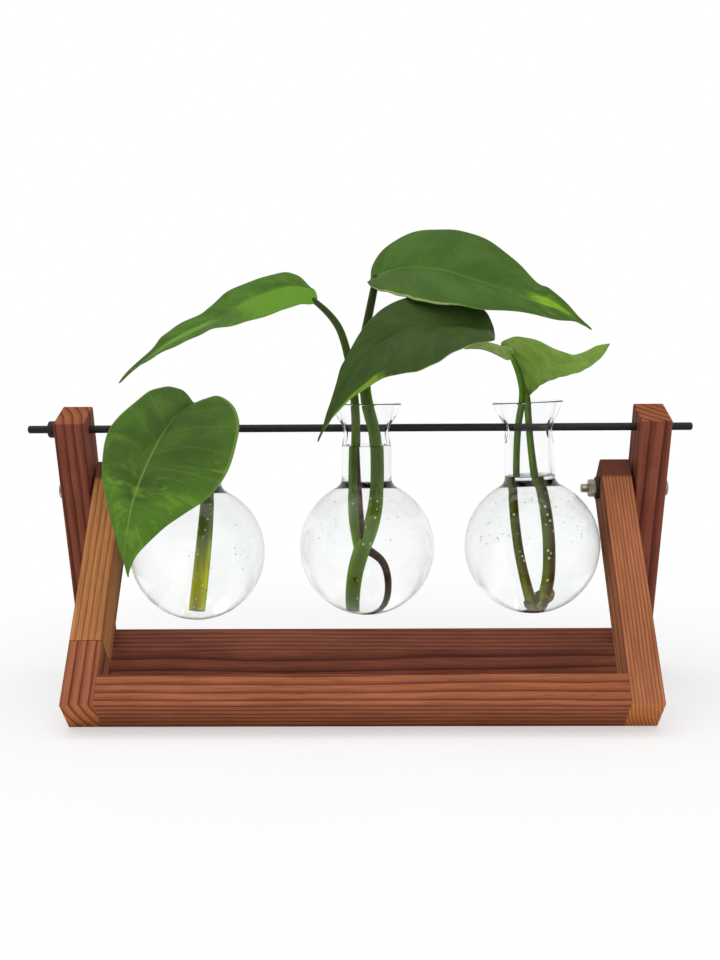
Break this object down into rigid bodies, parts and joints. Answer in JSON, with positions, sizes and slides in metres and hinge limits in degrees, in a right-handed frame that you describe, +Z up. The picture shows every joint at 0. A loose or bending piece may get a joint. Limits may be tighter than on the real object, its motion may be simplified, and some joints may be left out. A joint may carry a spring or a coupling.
{
  "type": "propagation vase",
  "caption": "Glass bulb vases hung by their necks on a black rod in a hinged wooden stand, each holding a leafy cutting that lifts out.",
  "frame": {"origin": "on the table under the middle of the stand's footprint", "axes": "+X along the rod to the right, -Y to the front, +Z up"},
  "size_m": [0.3, 0.1256, 0.2103],
  "materials": {
    "stained_pine": "red-brown stain, satin, open grain",
    "dowel_wood": "plain beech dowel",
    "plated_steel": "zinc plated",
    "black_rubber": "matt black rubber",
    "black_rod": "satin black",
    "clear_glass": "clear blown glass",
    "leaf": "waxy green leaf",
    "stem": "smooth green stem",
    "root": "brown root"
  },
  "bodies": {
    "rear_frame": {"rear_rail": "stained_pine", "rear_left_upright": "stained_pine", "rear_right_upright": "stained_pine", "rear_corner_dowels": "dowel_wood"},
    "front_frame": {"front_rail": "stained_pine", "front_left_upright": "stained_pine", "front_left_foot": "stained_pine", "front_right_upright": "stained_pine", "front_corner_dowels": "dowel_wood", "front_splice_dowels": "dowel_wood", "left_pivot_bolt": "plated_steel", "right_pivot_bolt": "plated_steel", "left_friction_washer": "black_rubber", "right_friction_washer": "black_rubber", "left_nut_washer": "black_rubber", "right_nut_washer": "black_rubber", "left_pivot_nut": "plated_steel", "right_pivot_nut": "plated_steel"},
    "rod": {"hanging_rod": "black_rod", "rod_stop_ring": "black_rubber"},
    "left_vase": {"left_vase_neck": "clear_glass", "left_vase_shoulder": "clear_glass", "left_vase_bowl": "clear_glass"},
    "middle_vase": {"middle_vase_neck": "clear_glass", "middle_vase_shoulder": "clear_glass", "middle_vase_bowl": "clear_glass"},
    "right_vase": {"right_vase_neck": "clear_glass", "right_vase_shoulder": "clear_glass", "right_vase_bowl": "clear_glass"},
    "left_cutting": {"left_cutting_stem": "stem", "left_cutting_leaf": "leaf"},
    "middle_cutting": {"middle_cutting_stem": "stem", "middle_cutting_root": "root", "middle_left_leaf": "leaf", "middle_top_leaf": "leaf", "middle_front_leaf": "leaf"},
    "right_cutting": {"right_cutting_stem": "stem", "right_cutting_root": "root", "right_small_leaf": "leaf", "right_long_leaf": "leaf"}
  },
  "joints": [
    {"name": "stand_fold", "type": "hinge", "parent": "rear_frame", "child": "front_frame", "pos_m": [0, 0.02109, 0.0925], "axis": [1, 0, 0], "range_deg": [-8, 45]},
    {"name": "rod_slide", "type": "slide", "parent": "rear_frame", "child": "rod", "axis": [-1, 0, 0], "range_m": [0, 0.02]},
    {"name": "left_vase_swing", "type": "hinge", "parent": "rear_frame", "child": "left_vase", "pos_m": [-0.0755, 0.01096, 0.12127], "axis": [1, 0, 0], "range_deg": [-10, 10]},
    {"name": "middle_vase_swing", "type": "hinge", "parent": "rear_frame", "child": "middle_vase", "pos_m": [0.0019, 0.01096, 0.12127], "axis": [1, 0, 0], "range_deg": [-10, 10]},
    {"name": "right_vase_swing", "type": "hinge", "parent": "rear_frame", "child": "right_vase", "pos_m": [0.0749, 0.01096, 0.12127], "axis": [1, 0, 0], "range_deg": [-10, 10]},
    {"name": "left_cutting_lift", "type": "slide", "parent": "left_vase", "child": "left_cutting", "axis": [0, 0, 1], "range_m": [0, 0.1]},
    {"name": "middle_cutting_lift", "type": "slide", "parent": "middle_vase", "child": "middle_cutting", "axis": [0, 0, 1], "range_m": [0, 0.1]},
    {"name": "right_cutting_lift", "type": "slide", "parent": "right_vase", "child": "right_cutting", "axis": [-0.0384, 0, 0.9993], "range_m": [0, 0.1]}
  ]
}
